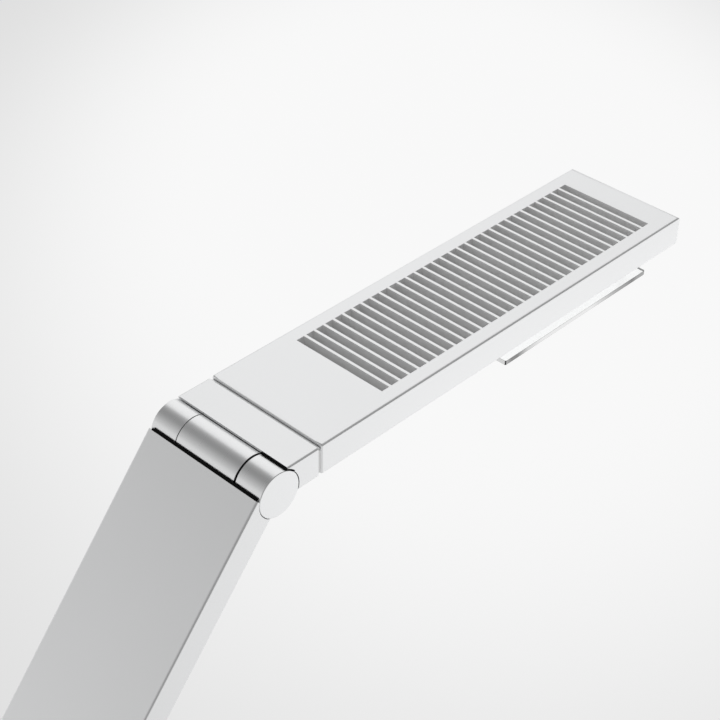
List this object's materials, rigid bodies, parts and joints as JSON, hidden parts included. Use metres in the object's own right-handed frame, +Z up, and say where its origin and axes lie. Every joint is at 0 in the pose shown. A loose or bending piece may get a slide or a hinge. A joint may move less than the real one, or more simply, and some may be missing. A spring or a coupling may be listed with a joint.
{
  "type": "folding led desk lamp",
  "caption": "Desk lamp with a flat slotted head on two flat folding arms, friction barrel hinges and a weighted base with a turntable.",
  "frame": {"origin": "centre of the foot pad on the table", "axes": "+Z up, +X from the base towards the tip of the head at rest, hinge axes along Y"},
  "size_m": [0.5989, 0.2, 0.7373],
  "materials": {
    "rubber": "matt non-slip pad",
    "ballast_steel": "plain rolled steel",
    "satin_aluminium": "fine satin anodised",
    "turned_aluminium": "finely turned and anodised",
    "steel": "bright zinc plated",
    "black_plastic": "matt moulded",
    "bronze": "sintered bronze",
    "circuit_board": "solder mask",
    "white_board": "white solder mask",
    "emitter": "phosphor coated",
    "opal_plastic": "opal",
    "clear_acrylic": "clear, polished edges"
  },
  "bodies": {
    "base": {"foot_pad": "rubber", "base_plate": "ballast_steel", "base_cover": "satin_aluminium", "base_screws": "steel", "control_board": "circuit_board", "rocker_cradle": "black_plastic", "power_inlet": "black_plastic", "swivel_bush": "black_plastic"},
    "turntable": {"turntable": "satin_aluminium", "swivel_nut": "steel", "base_knuckle": "turned_aluminium", "pedestal_screws": "steel", "base_bushes": "black_plastic", "base_discs": "bronze"},
    "lower_arm": {"lower_arm_profile": "satin_aluminium", "lower_arm_plugs": "black_plastic", "lower_arm_screws": "steel", "lower_arm_lead": "black_plastic", "base_cups": "turned_aluminium", "base_pin": "steel", "base_springs": "steel", "base_nuts": "steel", "base_shims": "black_plastic", "elbow_knuckle": "turned_aluminium", "elbow_bushes": "black_plastic", "elbow_discs": "bronze"},
    "upper_arm": {"upper_arm_profile": "satin_aluminium", "upper_arm_plugs": "black_plastic", "upper_arm_screws": "steel", "upper_arm_lead": "black_plastic", "elbow_cups": "turned_aluminium", "elbow_pin": "steel", "elbow_springs": "steel", "elbow_nuts": "steel", "elbow_shims": "black_plastic", "head_knuckle": "turned_aluminium", "head_bushes": "black_plastic", "head_discs": "bronze"},
    "neck": {"neck_block": "satin_aluminium", "neck_screws": "steel", "head_cups": "turned_aluminium", "head_pin": "steel", "head_springs": "steel", "head_nuts": "steel", "head_shims": "black_plastic", "thrust_plate": "satin_aluminium", "roll_shaft": "steel", "roll_nut": "steel"},
    "head": {"head_housing": "satin_aluminium", "roll_bush": "black_plastic", "heat_spreader": "satin_aluminium", "led_board": "white_board", "led_chips": "emitter", "diffuser_panel": "opal_plastic", "underside_cover": "satin_aluminium", "head_screws": "steel", "clear_screen": "clear_acrylic", "screen_posts": "turned_aluminium"},
    "power_button": {"power_button": "turned_aluminium"},
    "dimmer_rocker": {"dimmer_rocker": "turned_aluminium"}
  },
  "joints": [
    {"name": "base_swivel", "type": "hinge", "parent": "base", "child": "turntable", "pos_m": [-0.062, 0, 0.021], "axis": [0, 0, 1], "range_deg": [-90, 90]},
    {"name": "base_tilt", "type": "hinge", "parent": "turntable", "child": "lower_arm", "pos_m": [-0.062, 0, 0.0409], "axis": [0, 1, 0], "range_deg": [-25, 50]},
    {"name": "elbow_fold", "type": "hinge", "parent": "lower_arm", "child": "upper_arm", "pos_m": [-0.19881, 0, 0.41678], "axis": [0, -1, 0], "range_deg": [-65, 60]},
    {"name": "head_tilt", "type": "hinge", "parent": "upper_arm", "child": "neck", "pos_m": [0.05831, 0, 0.72319], "axis": [0, 1, 0], "range_deg": [-50, 90]},
    {"name": "head_roll", "type": "hinge", "parent": "neck", "child": "head", "pos_m": [0.08601, 0, 0.72789], "axis": [1, 0, 0], "range_deg": [0, 180]},
    {"name": "power_press", "type": "slide", "parent": "base", "child": "power_button", "axis": [0, 0, -1], "range_m": [0, 0.0008], "stiffness_N_per_m": 1500, "springref_m": -0.0004},
    {"name": "dimmer_tip", "type": "hinge", "parent": "base", "child": "dimmer_rocker", "pos_m": [0.085, -0.014, 0.0174], "axis": [1, 0, 0], "range_deg": [-2.5, 2.5], "stiffness_Nm_per_rad": 0.8}
  ]
}
